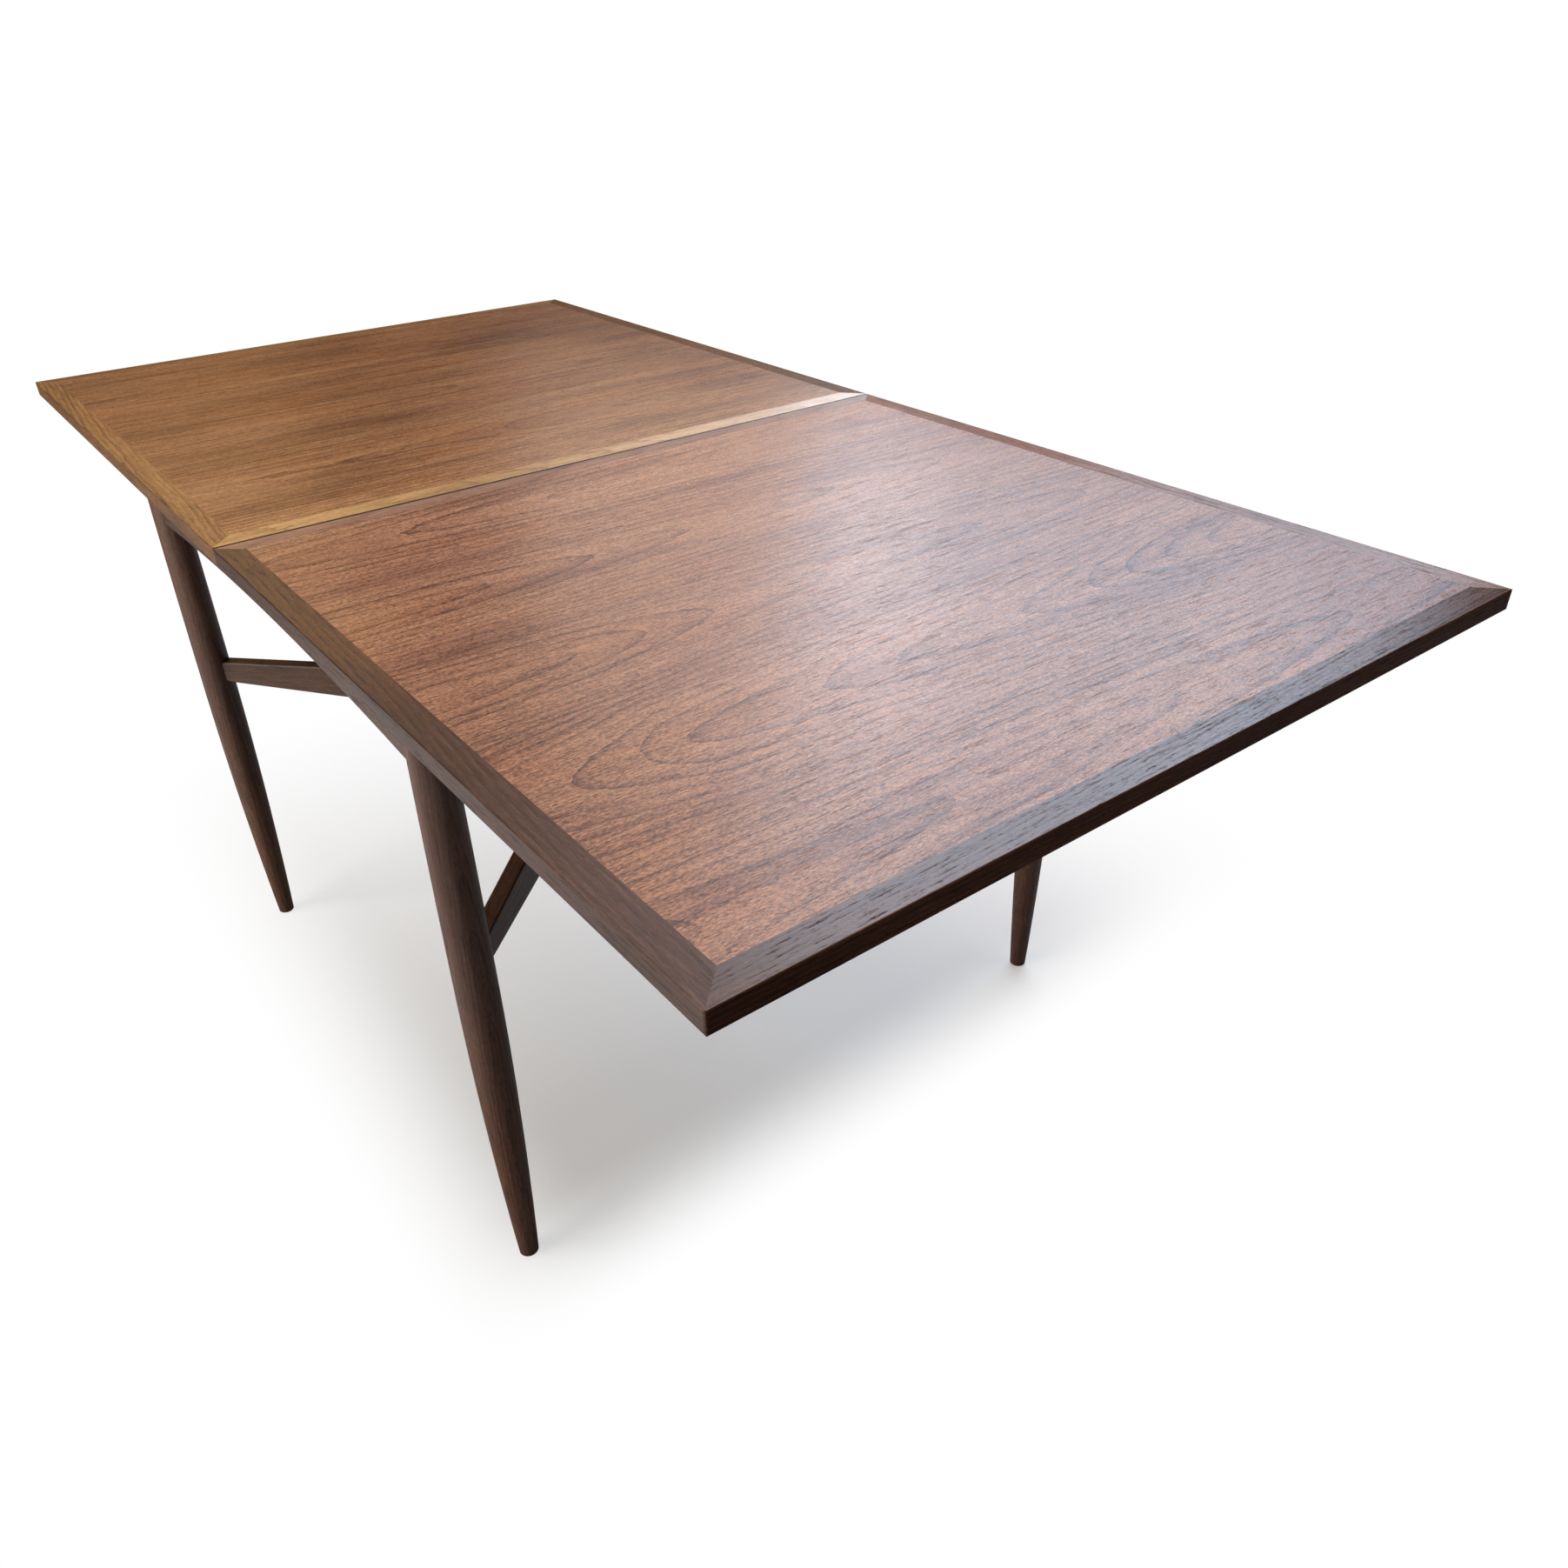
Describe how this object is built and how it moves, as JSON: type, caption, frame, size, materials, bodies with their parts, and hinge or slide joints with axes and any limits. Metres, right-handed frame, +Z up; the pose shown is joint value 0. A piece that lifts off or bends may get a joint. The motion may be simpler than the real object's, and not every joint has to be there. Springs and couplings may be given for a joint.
{
  "type": "flip-top table",
  "caption": "Extending dining table: two square leaves on a base of turned legs and crossed stretchers; the top slides and one leaf folds over the other",
  "frame": {"origin": "on the floor under the middle of the seam between the two leaves, which is the middle of the open table", "axes": "X runs along the seam, Y along the length of the open table from the folding leaf to the fixed leaf, Z up"},
  "size_m": [0.914, 1.828, 0.757],
  "materials": {
    "veneer": "oiled walnut veneer, satin",
    "band_wood": "oiled solid walnut, satin",
    "rail_wood": "oiled solid walnut, satin",
    "leg_wood": "turned solid walnut, satin",
    "inner_wood": "plain sanded beech",
    "felt": "pressed felt",
    "buffer_rubber": "matt rubber",
    "steel": "zinc plated",
    "brass": "satin brass"
  },
  "bodies": {
    "base": {"leg_near_left": "leg_wood", "leg_near_right": "leg_wood", "leg_far_left": "leg_wood", "leg_far_right": "leg_wood", "glide_near_left": "steel", "glide_near_right": "steel", "glide_far_left": "steel", "glide_far_right": "steel", "side_rail_left": "rail_wood", "side_rail_right": "rail_wood", "end_rail_near": "rail_wood", "end_rail_far": "rail_wood", "corner_block_near_left": "inner_wood", "corner_block_near_right": "inner_wood", "corner_block_far_left": "inner_wood", "corner_block_far_right": "inner_wood", "corner_screws": "steel", "stretcher_upper": "rail_wood", "stretcher_lower": "rail_wood", "stretcher_screw": "steel", "slide_track_left": "inner_wood", "slide_track_right": "inner_wood", "felt_strip_left": "felt", "felt_strip_right": "felt", "buffers_near": "buffer_rubber", "buffers_far": "buffer_rubber"},
    "sliding_top": {"fixed_panel": "veneer", "fixed_band_left": "band_wood", "fixed_band_right": "band_wood", "fixed_band_end": "band_wood", "fixed_band_seam": "band_wood", "runner_left": "inner_wood", "runner_right": "inner_wood", "runner_screws": "steel", "hinge_cup_fixed_left": "brass", "hinge_cup_fixed_middle": "brass", "hinge_cup_fixed_right": "brass", "hinge_links_fixed": "brass", "hinge_pins_fixed": "steel", "hinge_screws_fixed": "steel"},
    "flip_leaf": {"flip_panel": "veneer", "flip_band_left": "band_wood", "flip_band_right": "band_wood", "flip_band_end": "band_wood", "flip_band_seam": "band_wood", "hinge_cup_flip_left": "brass", "hinge_cup_flip_middle": "brass", "hinge_cup_flip_right": "brass", "hinge_links_flip": "brass", "hinge_pins_flip": "steel", "hinge_screws_flip": "steel"}
  },
  "joints": [
    {"name": "top_slide", "type": "slide", "parent": "base", "child": "sliding_top", "axis": [0, -1, 0], "range_m": [0, 0.457]},
    {"name": "leaf_flip", "type": "hinge", "parent": "sliding_top", "child": "flip_leaf", "pos_m": [0, 0, 0.75715], "axis": [-1, 0, 0], "range_deg": [0, 180]}
  ]
}
